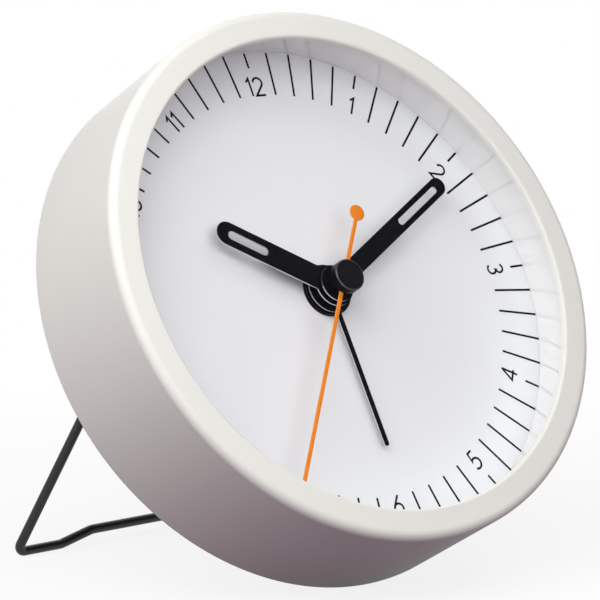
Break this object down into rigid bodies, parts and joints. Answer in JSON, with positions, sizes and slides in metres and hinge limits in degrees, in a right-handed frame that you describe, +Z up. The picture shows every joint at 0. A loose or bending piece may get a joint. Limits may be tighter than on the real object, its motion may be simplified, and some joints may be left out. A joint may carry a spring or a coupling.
{
  "type": "alarm clock",
  "caption": "Round drum desk alarm clock leaning on a folding wire stand, with turning hands, a geared movement, setting knobs, alarm switch and battery door.",
  "frame": {"origin": "on the floor under the middle of the standing clock", "axes": "+Z up, the dial looks towards -Y and leans back, +X towards 3 o'clock"},
  "size_m": [0.09, 0.0714, 0.0892],
  "materials": {
    "case_white": "satin warm white paint",
    "ring_white": "glossy white moulding",
    "dial_white": "matt white with fine black print",
    "lens_clear": "clear polished",
    "hand_black": "matt black lacquer",
    "hand_orange": "matt orange lacquer",
    "cap_black": "black moulding, soft gloss",
    "wire_dark": "black nickel plated steel wire",
    "cover_black": "fine textured black moulding",
    "knob_grey": "dark grey moulding",
    "switch_orange": "orange moulding",
    "screw_steel": "zinc plated",
    "frame_plastic": "natural moulding",
    "gear_plastic": "natural acetal",
    "brass": "bright brass",
    "iron": "bare soft iron",
    "copper": "enamelled copper wire",
    "board_green": "green board",
    "resin_black": "black resin",
    "can_silver": "tinned can",
    "battery_skin": "printed film sleeve"
  },
  "bodies": {
    "case": {"case_shell": "case_white", "lens": "lens_clear", "inner_ring": "ring_white", "dial": "dial_white", "bush_nut": "cap_black", "movement_frame": "frame_plastic", "rear_plate": "frame_plastic", "movement_screws": "screw_steel", "stator": "iron", "coil_core": "iron", "coil_bobbin": "frame_plastic", "coil_winding": "copper", "circuit_board": "board_green", "chip_cover": "resin_black", "quartz_crystal": "can_silver", "buzzer": "resin_black", "alarm_contact": "brass", "battery": "battery_skin", "positive_contact": "can_silver", "negative_contact": "can_silver", "back_cover": "cover_black", "cover_screws": "screw_steel"},
    "minute_hands": {"minute_wheel": "brass", "minute_hand": "hand_black"},
    "hour_hands": {"hour_wheel": "gear_plastic", "hour_hand": "hand_black"},
    "seconds_hands": {"seconds_wheel": "gear_plastic", "seconds_hand": "hand_orange", "seconds_pipe": "cap_black", "seconds_cap": "cap_black"},
    "third": {"third_wheel": "gear_plastic"},
    "transfer": {"transfer_wheel": "gear_plastic"},
    "intermediate": {"intermediate_wheel": "gear_plastic"},
    "motor_rotor": {"rotor": "iron"},
    "time_setting": {"time_set_shaft": "gear_plastic", "time_set_knob": "knob_grey"},
    "alarm_hands": {"alarm_wheel": "gear_plastic", "alarm_hand": "hand_black"},
    "alarm_setting": {"alarm_set_shaft": "gear_plastic", "alarm_set_knob": "knob_grey"},
    "switch": {"alarm_switch": "switch_orange"},
    "door": {"battery_door": "cover_black"},
    "stand": {"stand_wire": "wire_dark"}
  },
  "joints": [
    {"name": "minute_turn", "type": "hinge", "parent": "case", "child": "minute_hands", "pos_m": [0, -0.00534, 0.04578], "axis": [0, 0.8682, -0.4962], "continuous": true},
    {"name": "hour_turn", "type": "hinge", "parent": "case", "child": "hour_hands", "pos_m": [0, -0.00534, 0.04578], "axis": [0, 0.8682, -0.4962], "continuous": true},
    {"name": "seconds_turn", "type": "hinge", "parent": "case", "child": "seconds_hands", "pos_m": [0, -0.00534, 0.04578], "axis": [0, 0.8682, -0.4962], "continuous": true},
    {"name": "third_turn", "type": "hinge", "parent": "case", "child": "third", "pos_m": [0, -0.00087, 0.05359], "axis": [0, 0.8682, -0.4962], "continuous": true},
    {"name": "transfer_turn", "type": "hinge", "parent": "case", "child": "transfer", "pos_m": [0.00669, -0.00316, 0.04959], "axis": [0, 0.8682, -0.4962], "continuous": true},
    {"name": "intermediate_turn", "type": "hinge", "parent": "case", "child": "intermediate", "pos_m": [-0.00788, -0.00308, 0.04973], "axis": [0, 0.8682, -0.4962], "continuous": true},
    {"name": "rotor_turn", "type": "hinge", "parent": "case", "child": "motor_rotor", "pos_m": [-0.01113, -0.00029, 0.05461], "axis": [0, 0.8682, -0.4962], "continuous": true},
    {"name": "time_knob_turn", "type": "hinge", "parent": "case", "child": "time_setting", "pos_m": [0.0096, -0.00707, 0.04275], "axis": [0, 0.8682, -0.4962], "continuous": true},
    {"name": "alarm_turn", "type": "hinge", "parent": "case", "child": "alarm_hands", "pos_m": [0, -0.00534, 0.04578], "axis": [0, 0.8682, -0.4962], "continuous": true},
    {"name": "alarm_knob_turn", "type": "hinge", "parent": "case", "child": "alarm_setting", "pos_m": [-0.00947, -0.00705, 0.04278], "axis": [0, 0.8682, -0.4962], "continuous": true},
    {"name": "stand_fold", "type": "hinge", "parent": "case", "child": "stand", "pos_m": [0, 0.02103, 0.05443], "axis": [1, 0, 0], "range_deg": [-44.25, 0]},
    {"name": "switch_slide", "type": "slide", "parent": "case", "child": "switch", "axis": [1, 0, 0], "range_m": [0, 0.003]},
    {"name": "door_tilt", "type": "hinge", "parent": "case", "child": "door", "pos_m": [0, -0.00342, 0.01548], "axis": [-1, 0, 0], "range_deg": [0, 90]}
  ],
  "couplings": [
    {"joint": "hour_turn", "follows": "minute_turn", "ratio": 0.083333},
    {"joint": "seconds_turn", "follows": "minute_turn", "ratio": 60},
    {"joint": "third_turn", "follows": "minute_turn", "ratio": -7.5},
    {"joint": "transfer_turn", "follows": "minute_turn", "ratio": -0.33333},
    {"joint": "intermediate_turn", "follows": "minute_turn", "ratio": -360},
    {"joint": "rotor_turn", "follows": "minute_turn", "ratio": 1800},
    {"joint": "time_knob_turn", "follows": "minute_turn", "ratio": 0.83333},
    {"joint": "alarm_knob_turn", "follows": "alarm_turn", "ratio": -2}
  ]
}
